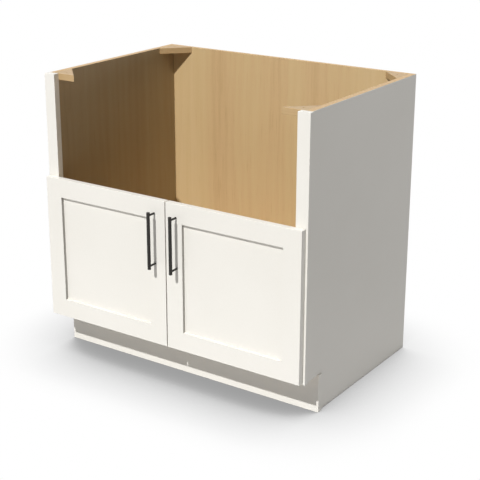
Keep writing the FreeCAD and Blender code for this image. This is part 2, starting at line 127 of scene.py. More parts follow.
class Graph:
    """One node tree, filled from left to right."""

    def __init__(self, tree: bpy.types.NodeTree) -> None:
        """Empty the node tree of a material or a world."""
        tree.nodes.clear()
        self.tree = tree

    def add(self, kind: str, inputs: dict[int | str, Any], **settings: Any) -> bpy.types.Node:
        """Add one node.

        Args:
            kind: The node's type name.
            inputs: For each input, by name or place, another node's socket or a constant.
            settings: The node's own options.

        Returns:
            The new node.
        """
        node = self.tree.nodes.new(kind)
        for name, value in settings.items():
            setattr(node, name, value)
        for socket, value in inputs.items():
            if isinstance(value, Socket):
                self.tree.links.new(value, node.inputs[socket])
            else:
                node.inputs[socket].default_value = value
        return node

    def position(self, order: Sequence[Axis] = (Axis.X, Axis.Y, Axis.Z)) -> Socket:
        """The point being shaded, in the shared frame.

        Args:
            order: Which axis comes first, second and third.

        Returns:
            A vector socket.
        """
        place = self.add("ShaderNodeTexCoord", {}).outputs["Object"]
        parts = self.add("ShaderNodeSeparateXYZ", {0: place}).outputs
        return self.add("ShaderNodeCombineXYZ",
                        {k: parts[axis.value] for k, axis in enumerate(order)}).outputs[0]

    def math(self, operation: str, *values: Any) -> Socket:
        """What a Math node makes of sockets or constants."""
        return self.add("ShaderNodeMath", dict(enumerate(values)), operation=operation).outputs[0]

    def noise(self, place: Socket, scales: Point | float, detail: float = 2.0,
              shift: Point = (0.0, 0.0, 0.0)) -> Socket:
        """Soft random variation.

        Args:
            place: The point to read it at.
            scales: Features per metre, along each part of the point or along all alike.
            detail: How many finer layers are added.
            shift: Moves the pattern, so that two boards differ.

        Returns:
            A number round 0.5.
        """
        scales = scales if isinstance(scales, tuple) else (scales,) * 3
        spot = self.add("ShaderNodeMapping", {"Vector": place, "Scale": scales,
                                              "Location": shift}).outputs[0]
        return self.add("ShaderNodeTexNoise", {"Vector": spot, "Scale": 1.0,
                                               "Detail": detail}).outputs[0]

    def spread(self, value: Socket, old: Pair, new: Pair) -> Socket:
        """Carry a number from one range to another, held at its ends."""
        return self.add("ShaderNodeMapRange",
                        {0: value, 1: old[0], 2: old[1], 3: new[0], 4: new[1]}).outputs[0]

    def mixed(self, parts: Sequence[tuple[Socket, float]]) -> Socket:
        """One factor from several: 0.5 plus each part's distance from 0.5 times its weight.

        Args:
            parts: Each a number round 0.5, and its weight.

        Returns:
            The factor.
        """
        total: Any = 0.5 - 0.5 * sum(weight for _, weight in parts)
        for value, weight in parts:
            total = self.math("MULTIPLY_ADD", value, weight, total)
        return total

    def colours(self, factor: Socket, stops: Sequence[tuple[float, Tone]]) -> Socket:
        """Turn a factor into a colour.

        Args:
            factor: From 0 to 1.
            stops: The colour at each factor, in rising order.

        Returns:
            A colour socket.
        """
        node = self.add("ShaderNodeValToRGB", {0: factor})
        elements = node.color_ramp.elements
        while len(elements) < len(stops):
            elements.new(0.5)
        for element, (place, tone) in zip(elements, stops):
            element.position = place
            element.color = tone.linear()
        return node.outputs[0]

    def two_looks(self, light: Socket, seen: Socket) -> Socket:
        """Show one shader to the rays that draw the picture and another to the rest.

        Args:
            light: The shader for the rays that only carry light.
            seen: The shader for camera, glossy and transmission rays.

        Returns:
            A shader socket.
        """
        path = self.add("ShaderNodeLightPath", {}).outputs
        looked_at = self.math("MAXIMUM", path["Is Camera Ray"], self.math(
            "MAXIMUM", path["Is Glossy Ray"], path["Is Transmission Ray"]))
        return self.add("ShaderNodeMixShader", {0: looked_at, 1: light, 2: seen}).outputs[0]

    def finish(self, colour: Socket, roughness: Any, height: Socket, depth: float,
               **constants: Any) -> None:
        """End the tree in one surface shader.

        Args:
            colour: The base colour.
            roughness: A socket or a constant.
            height: What stands up from the surface, from 0 to 1.
            depth: How far a height of 1 stands up, in metres.
            constants: The shader's other inputs, with _ for each space.
        """
        bump = self.add("ShaderNodeBump", {"Height": height, "Strength": 1.0,
                                           "Distance": depth})
        shader = self.add("ShaderNodeBsdfPrincipled", {
            "Base Color": colour, "Roughness": roughness, "Normal": bump.outputs[0],
            **{name.replace("_", " "): value for name, value in constants.items()}})
        self.add("ShaderNodeOutputMaterial", {"Surface": shader.outputs[0]})


# -------- finishes

@dataclass(frozen=True)
class Finish:
    """A named surface finish, made once and shared by every piece that asks for it."""

    name: str

    def material(self) -> bpy.types.Material:
        """Build the finish's material at the first call, and find it again at the next.

        Returns:
            The material.
        """
        made = bpy.data.materials.get(self.name)
        if made is None:
            made = bpy.data.materials.new(self.name)
            made.use_nodes = True
            self.fill(Graph(made.node_tree))
        return made

    def fill(self, graph: Graph) -> None:
        """Put the finish's nodes into its tree."""
        raise NotImplementedError


@dataclass(frozen=True)
class SatinPaint(Finish):
    """Sprayed warm white paint with a faint orange peel."""

    name: str = "satin_white_paint"
    pale: Tone = Tone(239, 236, 229)
    deep: Tone = Tone(234, 231, 223)
    cloud_scale: float = 3.0
    mottle_scale: float = 320.0
    peel_scale: float = 1300.0
    rough: Pair = (0.36, 0.46)
    relief: float = 0.03 * MM

    def fill(self, graph: Graph) -> None:
        """Cloudy colour over a metre, spray mottle at 3 mm and peel under 1 mm.

        Args:
            graph: Its empty tree.
        """
        place = graph.position()
        cloud = graph.noise(place, self.cloud_scale, 3.0)
        mottle = graph.noise(place, self.mottle_scale)
        peel = graph.noise(place, self.peel_scale)
        factor = graph.mixed([(cloud, 1.1), (mottle, 0.5)])
        colour = graph.colours(factor, [(0.2, self.deep), (0.8, self.pale)])
        graph.finish(colour, graph.spread(mottle, USUAL, self.rough),
                     graph.mixed([(mottle, 0.4), (peel, 0.6)]), self.relief)


class Maple(Enum):
    """Maple's pale, mean, warm and deep tone in each place where the cabinet shows it."""

    BACK = Tone(211, 184, 139), Tone(206, 178, 131), Tone(205, 174, 129), Tone(190, 158, 113)
    FLOOR = Tone(198, 172, 129), Tone(192, 165, 121), Tone(190, 161, 118), Tone(176, 146, 103)
    # the sides' tones are darker and greyer than the back's: painted shade for the inside walls
    # of the box
    SIDE = Tone(176, 159, 128), Tone(170, 152, 121), Tone(168, 148, 117), Tone(156, 137, 106)
    BLOCK = Tone(194, 164, 120), Tone(187, 157, 112), Tone(185, 153, 109), Tone(172, 140, 97)


@dataclass(frozen=True)
class MapleVeneer(Finish):
    """Clear-coated flat-cut maple, laid in leaves side by side.

    Each scales field holds features per metre across the grain, along it and through the
    board. shift moves the pattern across the grain, so that two boards differ, and
    shift_along is how much of that it moves along it.
    """

    along: Axis = Axis.Z
    across: Axis = Axis.X
    through: Axis = Axis.Y
    shift: float = 0.0
    shift_along: float = 0.7
    tones: Maple = Maple.BACK
    leaf_width: float = 172 * MM
    band_scales: Point = (11.0, 0.55, 9.0)
    arch_stretch: Point = (1.0, 0.085, 1.0)
    arch_scale: float = 9.0
    arch_bend: float = 9.0
    streak_scales: Point = (420.0, 5.0, 300.0)
    fleck_scales: Point = (900.0, 48.0, 900.0)
    line_scales: Point = (270.0, 8.0, 270.0)
    rough: Pair = (0.38, 0.50)
    relief: float = 0.04 * MM

    def fill(self, graph: Graph) -> None:
        """Bands, arched figure, streaks, sparse dark lines, flecks and a step at each leaf.

        Args:
            graph: Its empty tree.
        """
        place = graph.position((self.across, self.along, self.through))
        start = (self.shift, self.shift * self.shift_along, 0.0)
        bands = graph.noise(place, self.band_scales, 2.0, start)
        arch_place = graph.add("ShaderNodeMapping", {
            "Vector": place, "Scale": self.arch_stretch, "Location": start}).outputs[0]
        arches = graph.add("ShaderNodeTexWave", {
            "Vector": arch_place, "Scale": self.arch_scale, "Distortion": self.arch_bend,
            "Detail": 2.0, "Detail Scale": 1.6},
            wave_type="BANDS", bands_direction="X").outputs[1]
        streaks = graph.noise(place, self.streak_scales, 4.0, start)
        flecks = graph.noise(place, self.fleck_scales, 1.0, start)
        dashes = graph.spread(flecks, (0.60, 0.74), (0.5, 0.0))
        lines = graph.spread(graph.noise(place, self.line_scales, 2.0, start),
                             (0.58, 0.70), (0.5, 0.0))
        distance = graph.add("ShaderNodeSeparateXYZ", {0: place}).outputs[0]
        # 10 m added to the distance keeps the count of leaves above zero
        leaf = graph.math("FLOOR", graph.math("DIVIDE", graph.math(
            "ADD", distance, 10.0 + self.shift), self.leaf_width))
        leaf_tone = graph.add("ShaderNodeTexWhiteNoise", {"W": leaf},
                              noise_dimensions="1D").outputs[0]
        factor = graph.mixed([(bands, 0.8), (arches, 0.10), (streaks, 0.30), (lines, 0.34),
                              (dashes, 0.26), (leaf_tone, 0.10)])
        pale, mean, warm, deep = self.tones.value
        colour = graph.colours(factor, [(0.10, deep), (0.40, warm), (0.52, mean), (0.80, pale)])
        graph.finish(colour, graph.spread(streaks, USUAL, self.rough),
                     graph.mixed([(streaks, 0.6), (dashes, 0.4)]), self.relief)


@dataclass(frozen=True)
class PlyEdge(Finish):
    """The sawn edge of a maple-faced plywood board: thin plies with glue between them."""

    through: Axis = Axis.X
    start: float = 0.0
    thickness: float = 18 * MM
    plies: int = 11
    pale: Tone = Tone(219, 190, 149)
    deep: Tone = Tone(200, 168, 126)
    glue: Tone = Tone(158, 125, 86)
    waver: float = 0.16
    waver_scales: Point = (1.0, 14.0, 14.0)
    fibre_scales: Point = (900.0, 30.0, 30.0)
    pore_scales: Point = (1500.0, 1100.0, 1100.0)
    rough: Pair = (0.62, 0.74)
    relief: float = 0.08 * MM

    def fill(self, graph: Graph) -> None:
        """Alternate plies of long grain and end grain, counted through the thickness.

        Args:
            graph: Its empty tree.
        """
        axes = [axis for axis in Axis if axis is not self.through]
        place = graph.position((self.through, *axes))
        depth = graph.add("ShaderNodeSeparateXYZ", {0: place}).outputs[0]
        wander = graph.noise(place, self.waver_scales)
        layer = graph.math("MULTIPLY", graph.math("SUBTRACT", depth, self.start),
                           self.plies / self.thickness)
        layer = graph.math("MULTIPLY_ADD", wander, self.waver, layer)
        odd = graph.math("GREATER_THAN", graph.math("PINGPONG", layer, 1.0), 0.5)
        line = graph.math("ABSOLUTE", graph.math("SUBTRACT", graph.math("FRACT", layer), 0.5))
        seam = graph.spread(line, (0.40, 0.5), (0.0, 0.5))
        fibres = graph.noise(place, self.fibre_scales, 3.0)
        pores = graph.noise(place, self.pore_scales, 1.0)
        grain = graph.mixed([(fibres, 0.5), (pores, 0.5)])
        ply = graph.spread(odd, (0.0, 1.0), (0.35, 0.72))
        factor = graph.math("SUBTRACT", graph.mixed([(ply, 0.8), (grain, 0.7)]), seam)
        colour = graph.colours(factor, [(0.0, self.glue), (0.32, self.deep), (0.75, self.pale)])
        graph.finish(colour, graph.spread(grain, USUAL, self.rough), grain, self.relief)


@dataclass(frozen=True)
class PowderCoat(Finish):
    """Matte black powder coat with a fine grit."""

    name: str = "matte_black_coat"
    face: Tone = Tone(37, 35, 33)
    worn: Tone = Tone(50, 48, 45)
    grit_scale: float = 2600.0
    mark_scales: Point = (90.0, 90.0, 30.0)
    rough: Pair = (0.52, 0.64)
    relief: float = 0.04 * MM

    def fill(self, graph: Graph) -> None:
        """Grit under half a millimetre, with faint cloudy handling marks.

        Args:
            graph: Its empty tree.
        """
        place = graph.position()
        grit = graph.noise(place, self.grit_scale, 3.0)
        marks = graph.noise(place, self.mark_scales, 3.0)
        factor = graph.mixed([(grit, 0.5), (marks, 0.8)])
        colour = graph.colours(factor, [(0.35, self.face), (0.85, self.worn)])
        graph.finish(colour, graph.spread(marks, USUAL, self.rough), grit, self.relief,
                     Specular_IOR_Level=0.3)


@dataclass(frozen=True)
class SatinNickel(Finish):
    """Nickel plate over stamped steel, with fine polishing lines."""

    name: str = "satin_nickel"
    bright: Tone = Tone(206, 203, 197)
    dull: Tone = Tone(172, 168, 160)
    line_scales: Point = (3200.0, 3200.0, 120.0)
    stain_scale: float = 140.0
    rough: Pair = (0.36, 0.24)
    relief: float = 0.012 * MM

    def fill(self, graph: Graph) -> None:
        """Long fine lines along the height, broken by a soft stain.

        Args:
            graph: Its empty tree.
        """
        place = graph.position()
        lines = graph.noise(place, self.line_scales)
        stain = graph.noise(place, self.stain_scale, 3.0)
        factor = graph.mixed([(lines, 0.5), (stain, 0.9)])
        colour = graph.colours(factor, [(0.25, self.dull), (0.75, self.bright)])
        graph.finish(colour, graph.spread(factor, (0.2, 0.8), self.rough), lines, self.relief,
                     Metallic=1.0)


@dataclass(frozen=True)
class SoftPlastic(Finish):
    """Clear soft bumper plastic, slightly milky."""

    name: str = "clear_soft_plastic"
    body: Tone = Tone(226, 228, 226)
    cloudy: Tone = Tone(214, 216, 212)
    cloud_scale: float = 500.0
    skin_scale: float = 4000.0
    rough: Pair = (0.26, 0.36)
    relief: float = 0.01 * MM

    def fill(self, graph: Graph) -> None:
        """A faint cloud through the pad and a moulded micro texture.

        Args:
            graph: Its empty tree.
        """
        place = graph.position()
        cloud = graph.noise(place, self.cloud_scale)
        skin = graph.noise(place, self.skin_scale, 1.0)
        colour = graph.colours(cloud, [(0.3, self.cloudy), (0.7, self.body)])
        graph.finish(colour, graph.spread(skin, USUAL, self.rough), skin, self.relief,
                     Transmission_Weight=0.55, IOR=1.48)


@dataclass(frozen=True)
class StudioFloor(Finish):
    """Plain white floor with a soft contact shade.

    The grey that is seen follows the open share of the sky within reach. steps holds pairs
    of that share and the grey, from 0 to 255.
    """

    name: str = "studio_floor"
    bounce: Tone = Tone(209, 208, 207)
    reach: float = 0.30
    samples: int = 24
    steps: tuple[Pair, ...] = (
        (0.15, 156), (0.28, 161), (0.40, 169), (0.48, 184), (0.54, 205),
        (0.63, 221), (0.72, 233), (0.82, 242), (0.90, 249), (0.97, 255))

    def fill(self, graph: Graph) -> None:
        """White with the shade of what stands over it where it is seen, pale grey to light.

        Args:
            graph: Its empty tree.
        """
        shade = graph.add("ShaderNodeAmbientOcclusion", {"Distance": self.reach},
                          samples=self.samples).outputs["AO"]
        seen = graph.colours(shade, [(open_share, Tone(grey, grey, grey))
                                     for open_share, grey in self.steps])
        glow = graph.add("ShaderNodeEmission", {"Color": seen, "Strength": 1.0})
        plain = graph.add("ShaderNodeBsdfDiffuse", {"Color": self.bounce.linear()})
        graph.add("ShaderNodeOutputMaterial", {
            "Surface": graph.two_looks(plain.outputs[0], glow.outputs[0])})


# -------- surfaces

@dataclass
class Surface:
    """A mesh as whole arrays.

    points holds one row per vertex, faces one tuple of vertex numbers per face, and
    normals, where it is given, one exact normal per vertex.
    """

    points: np.ndarray
    faces: list[tuple[int, ...]]
    normals: np.ndarray | None = None


def grid_faces(rows: int, columns: int, closed: bool) -> np.ndarray:
    """The quads of a grid whose points run row by row.

    Args:
        rows: Rows of points.
        columns: Points in each row.
        closed: Whether the last column joins the first.

    Returns:
        One row of four point numbers for each quad.
    """
    row = np.arange(rows - 1)[:, None] * columns
    column = np.arange(columns if closed else columns - 1)[None, :]
    following = (column + 1) % columns
    corners = [row + column, row + following, row + columns + following, row + columns + column]
    return np.stack(corners, axis=-1).reshape(-1, 4)


def eased_board(low: Sequence[float], high: Sequence[float], ease: float, steps: int = 3
                ) -> Surface:
    """A board whose arrises are rounded.

    Each point q of the plain box has a nearest point c in the box shrunk by the radius. The
    surface point is c plus the radius times the unit direction from c to q, and that
    direction is also the normal there.

    Args:
        low: Lowest corner.
        high: Highest corner.
        ease: Radius of the arrises.
        steps: Facets in half of each rounding.

    Returns:
        The closed surface.
    """
    low, high = np.array(low), np.array(high)
    half = (high - low) / 2
    flat_least = 0.05  # the share of half the thickness that stays flat
    ease = min(ease, float(half.min()) * (1 - flat_least))
    core = half - ease
    turn = ease * np.tan(np.linspace(0, math.pi / 4, steps + 1))
    points, faces = [], []
    for axis in range(3):
        first, second = (axis + 1) % 3, (axis + 2) % 3
        rows = np.concatenate([-core[first] - turn[::-1], core[first] + turn])
        columns = np.concatenate([-core[second] - turn[::-1], core[second] + turn])
        for sign in (-1, 1):
            spot = np.zeros((len(rows), len(columns), 3))
            spot[..., axis] = sign * half[axis]
            spot[..., first] = rows[:, None]
            spot[..., second] = columns[None, :]
            quads = grid_faces(len(rows), len(columns), False)
            faces.append((quads if sign < 0 else quads[:, ::-1]) + sum(map(len, points)))
            points.append(spot.reshape(-1, 3))
    plain = np.concatenate(points)
    nearest = np.clip(plain, -core, core)
    normals = plain - nearest
    normals /= np.linalg.norm(normals, axis=1, keepdims=True)
    round_points = nearest + ease * normals + (low + high) / 2
    _, kept, back = np.unique(np.round(round_points, POINT_DIGITS), axis=0, return_index=True,
                              return_inverse=True)
    quads = back.reshape(-1)[np.concatenate(faces)]
    return Surface(round_points[kept], list(map(tuple, quads.tolist())), normals[kept])


def across_axes(direction: Sequence[float]) -> np.ndarray:
    """Two unit vectors across a direction and the direction itself, right-handed.

    Args:
        direction: Any vector.

    Returns:
        The three as the rows of a matrix.
    """
    along = np.array(direction, float) / np.linalg.norm(direction)
    upright = 0.9  # a direction with more than this of Z in it gets another helper
    helper = [0.0, 0.0, 1.0] if abs(along[2]) < upright else [0.0, 1.0, 0.0]
    first = np.cross(helper, along)
    first /= np.linalg.norm(first)
    return np.array([first, np.cross(along, first), along])


def turned(profile: Sequence[Pair], base: Sequence[float],
           direction: Sequence[float], segments: int = 48,
           carve: Rule | None = None) -> Surface:
    """A turned piece: a profile of (radius, distance) carried round an axis.

    The point at angle t is radius times cosine t and sine t across the axis, and the
    distance along it. The first and the last ring are closed by flat caps.

    Args:
        profile: From the low end to the high end.
        base: Where the axis starts.
        direction: Which way it runs.
        segments: Facets round the axis.
        carve: Moves the local points, given and returned as one array.

    Returns:
        The closed surface.
    """
    radius, distance = np.array(profile, float).T
    angle = np.linspace(0, 2 * math.pi, segments, endpoint=False)
    local = np.stack([radius[:, None] * np.cos(angle), radius[:, None] * np.sin(angle),
                      np.broadcast_to(distance[:, None], (len(radius), segments))], axis=-1)
    local = local.reshape(-1, 3)
    if carve is not None:
        local = carve(local)
    points = local @ across_axes(direction) + np.array(base)
    faces = list(map(tuple, grid_faces(len(radius), segments, True).tolist()))
    ring = np.arange(segments)
    faces.append(tuple(ring[::-1].tolist()))
    faces.append(tuple((ring + (len(radius) - 1) * segments).tolist()))
    return Surface(points, faces)


def rounded_corner(centre: Pair, radius: float, start: float, end: float,
                   steps: int = 5) -> list[Pair]:
    """Points on an arc of a profile.

    Args:
        centre: The arc's centre as (radius, distance).
        radius: The arc's own radius.
        start: Angle of its first point, in degrees from outwards towards the high end.
        end: Angle of its last point.
        steps: Facets in the arc.

    Returns:
        The centre plus the radius times the cosine and the sine of each angle.
    """
    angle = np.radians(np.linspace(start, end, steps + 1))
    arc = np.stack([centre[0] + radius * np.cos(angle), centre[1] + radius * np.sin(angle)], 1)
    return list(map(tuple, arc.tolist()))


def joined(surfaces: Sequence[Surface]) -> Surface:
    """Several loose surfaces as one.

    Args:
        surfaces: Each a closed surface.

    Returns:
        All of their points and faces.
    """
    starts = np.cumsum([0] + [len(item.points) for item in surfaces[:-1]])
    faces = [tuple(number + int(start) for number in face)
             for item, start in zip(surfaces, starts) for face in item.faces]
    normals = None
    if all(item.normals is not None for item in surfaces):
        normals = np.concatenate([item.normals for item in surfaces])
    return Surface(np.concatenate([item.points for item in surfaces]), faces, normals)


# -------- pieces

def read(items: Any, field: str, width: int = 3, kind: type = np.float32) -> np.ndarray:
    """One field of all the points, edges, corners or faces of a mesh.

    Args:
        items: The mesh's collection of them.
        field: The field's name.
        width: How many numbers it has.
        kind: What numbers they are.

    Returns:
        One row for each item.
    """
    flat = np.zeros(len(items) * width, kind)
    items.foreach_get(field, flat)
    return flat.reshape(-1, width)


def one_finish(normals: np.ndarray) -> np.ndarray:
    """The first finish for every face."""
    return np.zeros(len(normals))


@dataclass(frozen=True)
class Role:
    """How a piece belongs to the assembly.

    It has the body that carries it, the record's slot that it takes its finish from, its
    finishes, and a rule from its faces' normals to the number of each face's finish.
    """

    body: str
    slot: Slot
    finishes: Sequence[Finish]
    choose: Rule = one_finish


def settle(node: str, mesh: Mesh, role: Role) -> None:
    """Dress a mesh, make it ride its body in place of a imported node, and report it.

    Args:
        node: The node that it stands for.
        mesh: The finished mesh, in the shared frame.
        role: Its body, slot and finishes.
    """
    mesh.materials.clear()
    for finish in role.finishes:
        mesh.materials.append(finish.material())
    index = role.choose(read(mesh.polygons, "normal")).astype(np.int32)
    mesh.polygons.foreach_set("material_index", index)
    piece = bpy.data.objects.new(mesh.name, mesh)
    bpy.context.scene.collection.objects.link(piece)
    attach(piece, role.body)
    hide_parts(node)
    log.info("%s: %d faces on %s", piece.name, len(mesh.polygons), role.body)


def place_surface(node: str, surface: Surface, role: Role) -> None:
    """Stand for a node with a new surface.

    Args:
        node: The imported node.
        surface: The new surface, in the shared frame.
        role: Its body, slot and finishes.
    """
    mesh = bpy.data.meshes.new(node + "_finished")
    mesh.from_pydata(surface.points.tolist(), [], surface.faces)
    mesh.polygons.foreach_set("use_smooth", np.ones(len(mesh.polygons), bool))
    if surface.normals is None:
        mesh.set_sharp_from_angle(angle=SMOOTH_MOST)
    else:
        mesh.normals_split_custom_set_from_vertices(surface.normals.tolist())
    mesh.update()
    settle(node, mesh, role)


def joint_box(nodes: Sequence[str]) -> Box:
    """The lowest and the highest corner of the box round several nodes."""
    corners = np.array([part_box(node) for node in nodes])
    return Vector(corners[:, 0].min(axis=0)), Vector(corners[:, 1].max(axis=0))


def edge_turns(mesh: Mesh) -> tuple[np.ndarray, np.ndarray]:
    """How far the two faces at each edge of a closed mesh turn from each other.

    Args:
        mesh: A closed mesh.

    Returns:
        For each edge the numbers of its two faces, and the cosine between their normals.
    """
    corner_edge = read(mesh.loops, "edge_index", 1, np.int32)[:, 0]
    sides = read(mesh.polygons, "loop_total", 1, np.int32)[:, 0]
    corner_face = np.repeat(np.arange(len(sides)), sides)
    pairs = corner_face[np.argsort(corner_edge, kind="stable")].reshape(-1, 2)
    normals = read(mesh.polygons, "normal")
    return pairs, np.sum(normals[pairs[:, 0]] * normals[pairs[:, 1]], axis=1)


def find_arrises(mesh: Mesh, shortest: float, outline: Box | None) -> np.ndarray:
    """Which edges of a closed mesh are long arrises.

    An edge counts if it is long enough, which leaves the rims of holes sharp, and if its two
    faces turn by more than the facets of a curve do. With an outline its middle must also
    lie on a side, the top or the bottom of that box, so that flush joints inside it stay
    closed.

    Args:
        mesh: A closed mesh.
        shortest: The least length, in metres.
        outline: The box of the whole frame that the piece belongs to.

    Returns:
        True for each arris.
    """
    ends = read(mesh.edges, "vertices", 2, np.int32)
    start, end = read(mesh.vertices, "co")[ends.T]
    arris = np.linalg.norm(start - end, axis=1) >= shortest
    arris &= edge_turns(mesh)[1] < math.cos(ARRIS_LEAST)
    if outline is not None:
        middle = ((start + end) / 2)[:, [0, 2]]
        away = [np.abs(middle - np.array([corner.x, corner.z])) for corner in outline]
        arris &= np.minimum(*away).min(axis=1) < ON_OUTLINE
    return arris


def find_curved(mesh: Mesh) -> np.ndarray:
    """Which faces of a closed mesh are facets of a curved surface.

    Args:
        mesh: A closed mesh.

    Returns:
        True for each face that turns a little from one of its neighbours.
    """
    pairs, cosine = edge_turns(mesh)
    slight = (cosine < math.cos(FACET_LEAST)) & (cosine > math.cos(ARRIS_LEAST))
    curved = np.zeros(len(mesh.polygons), bool)
    curved[pairs[slight].reshape(-1)] = True
    return curved


def ease_copy(node: str, role: Role, ease: float, shortest: float = 12 * MM,
              outline: Box | None = None) -> None:
    """Stand for a node with a copy of it whose long arrises are eased.

    Args:
        node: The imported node, with its joints and bores.
        role: Its body, slot and finishes.
        ease: Radius of the eased arrises.
        shortest: The shortest edge that is eased.
        outline: The box of the frame whose outer edges alone are eased.
    """
    work = bmesh.new()
    work.from_mesh(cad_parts[node].data)
    bmesh.ops.remove_doubles(work, verts=work.verts, dist=SAME_POINT)
    bmesh.ops.dissolve_limit(work, angle_limit=ONE_PLANE, verts=work.verts, edges=work.edges)
    mesh = bpy.data.meshes.new(node + "_finished")
    work.to_mesh(mesh)
    for face, curved in zip(work.faces, find_curved(mesh)):
        face.smooth = bool(curved)
    arrises = [edge for edge, chosen in zip(work.edges, find_arrises(mesh, shortest, outline))
               if chosen]
    # the number past the last finish marks the new faces, until settle gives them theirs
    rounding = len(role.finishes)
    bmesh.ops.bevel(work, geom=arrises, offset=ease, segments=3, profile=0.5,
                    affect="EDGES", clamp_overlap=False, material=rounding)
    for face in work.faces:
        face.smooth = face.smooth or face.material_index == rounding
    for edge in work.edges:
        edge.smooth = edge.calc_face_angle(0.0) < SMOOTH_MOST
    work.to_mesh(mesh)
    work.free()
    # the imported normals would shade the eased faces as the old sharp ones
    packed_normals = mesh.attributes.get("custom_normal")
    if packed_normals is not None:
        mesh.attributes.remove(packed_normals)
    settle(node, mesh, role)


# -------- box

def board_faces(through: Axis) -> Rule:
    """A rule for a plywood board, whose two faces and edges differ.

    Args:
        through: The axis through the board's thickness.

    Returns:
        From normals to 0 for its low face, 1 for its high face and 2 for an edge.
    """
    def choose(normals: np.ndarray) -> np.ndarray:
        """0 for the low face, 1 for the high face and 2 for an edge."""
        lean = normals[:, through.value]
        return np.where(lean < -FACING, 0, np.where(lean > FACING, 1, 2))

    return choose


@dataclass
class Carcase:
    """The plywood box: sides, floor, back, the board behind the toe board and the blocks."""

    body: str = "carcase"
    ease: float = 0.5 * MM
    block_ease: float = 0.9 * MM
    sheet_plies: int = 9

    def build(self) -> None:
        """Build every board of the box."""
        for side in Side:
            self.side_panel(side)
            for wall in ("front", "back"):
                self.corner_block(f"{wall}_{side.word}_corner_block", side)
        self.sheet("floor_panel", Axis.Z, MapleVeneer(
            "floor_veneer", Axis.X, Axis.Y, Axis.Z, shift=3.7, tones=Maple.FLOOR))
        self.sheet("back_panel", Axis.Y, MapleVeneer(
            "back_veneer", Axis.Z, Axis.X, Axis.Y, shift=0.4))
        self.sheet("toe_support_board", Axis.Y, MapleVeneer(
            "toe_support_veneer", Axis.X, Axis.Z, Axis.Y, shift=6.1))

    def side_panel(self, side: Side) -> None:
        """A side panel, painted outside and clear maple inside, the maple darker and greyer than
        the back as painted shade.

        Args:
            side: Which side.
        """
        node = f"{side.word}_side_panel"
        low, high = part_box(node)
        # the inner veneer takes the darker side tones, painted shade for the inside of the box
        veneer = MapleVeneer(f"{side.word}_side_veneer", Axis.Z, Axis.Y, Axis.X,
                             shift=1.3 + side.value * 0.8, tones=Maple.SIDE)
        faces = [SatinPaint(), veneer] if side is Side.LEFT else [veneer, SatinPaint()]
        edge = PlyEdge(f"{side.word}_side_edge", Axis.X, low.x, high.x - low.x)
        ease_copy(node, Role(self.body, Slot.MAPLE, [*faces, edge], board_faces(Axis.X)),
                  self.ease)

    def corner_block(self, node: str, side: Side) -> None:
        """A corner block of solid maple, its grain from side to side.

        Args:
            node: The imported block.
            side: The side that it stands in.
        """
        wood = MapleVeneer(node + "_wood", Axis.X, Axis.Y, Axis.Z,
                           shift=2.1 * side.value + len(node), tones=Maple.BLOCK)
        ease_copy(node, Role(self.body, Slot.MAPLE, [wood]), self.block_ease)

    def sheet(self, node: str, through: Axis, veneer: MapleVeneer) -> None:
        """A plain plywood board with veneered faces and sawn edges.

        Args:
            node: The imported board.
            through: The axis through its thickness.
            veneer: The finish of its two faces.
        """
        low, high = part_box(node)
        edge = PlyEdge(node + "_edge", through, low[through.value],
                       high[through.value] - low[through.value], self.sheet_plies)
        place_surface(node, eased_board(low, high, self.ease),
                      Role(self.body, Slot.MAPLE, [veneer, veneer, edge], board_faces(through)))


@dataclass
class FaceFrame:
    """The painted frame on the front of the box, and the toe board under it."""

    body: str = "carcase"
    ease: float = 0.8 * MM
    members: tuple[str, ...] = ("left_frame_stile", "right_frame_stile",
                                "frame_bottom_rail", "frame_apron_rail")

    def build(self) -> None:
        """Build the two stiles, the two rails and the toe board."""
        role = Role(self.body, Slot.PAINT, [SatinPaint()])
        outline = joint_box(self.members)
        for node in self.members:
            ease_copy(node, role, self.ease, outline=outline)
        place_surface("toe_kick_board", eased_board(*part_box("toe_kick_board"), self.ease), role)


# -------- doors and pulls

@dataclass
class Door:
    """One framed door: two stiles, two rails, a loose panel and its bumpers.

    The stiles' faces towards the panel, the low one or the high one, get a greyer paint that is
    painted shade for the recess.
    """

    side: Side
    ease: float = 0.8 * MM
    panel_ease: float = 0.3 * MM
    pad_ease: float = 0.7 * MM
    # grey tones for the stiles' faces towards the panel: painted shade for the recess, not a
    # second paint
    recess_pale: Tone = Tone(170, 167, 162)
    recess_deep: Tone = Tone(164, 161, 155)

    def build(self) -> None:
        """Build the door's members, panel and bumpers."""
        body = f"{self.side.word}_door"
        paint = SatinPaint()
        # the darker in-recess paint is painted shade on the faces that look into the recess
        painted_shade_paint = SatinPaint("satin_white_paint_in_recess", self.recess_pale, self.recess_deep)
        plain = Role(body, Slot.PAINT, [paint])
        to_low = Role(body, Slot.PAINT, [painted_shade_paint, paint, paint], board_faces(Axis.X))
        to_high = Role(body, Slot.PAINT, [paint, painted_shade_paint, paint], board_faces(Axis.X))
        stiles = [to_high, to_low] if self.side is Side.LEFT else [to_low, to_high]
        members = [f"{body}_{part}" for part in ("hinge_stile", "meeting_stile",
                                                 "bottom_rail", "top_rail")]
        outline = joint_box(members)
        for node, role in zip(members, [*stiles, plain, plain]):
            ease_copy(node, role, self.ease, outline=outline)
        panel = f"{body}_panel"
        place_surface(panel, eased_board(*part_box(panel), self.panel_ease), plain)
        self.bumpers(body)

    def bumpers(self, body: str) -> None:
        """The two soft pads behind the meeting stile.

        Args:
            body: The door's body.
        """
        node = f"{body}_bumpers"
        low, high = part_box(node)
        size = high.x - low.x
        pads = [eased_board((low.x, low.y, bottom), (high.x, high.y, bottom + size),
                            self.pad_ease) for bottom in (low.z, high.z - size)]
        place_surface(node, joined(pads), Role(body, Slot.CLEAR, [SoftPlastic()]))


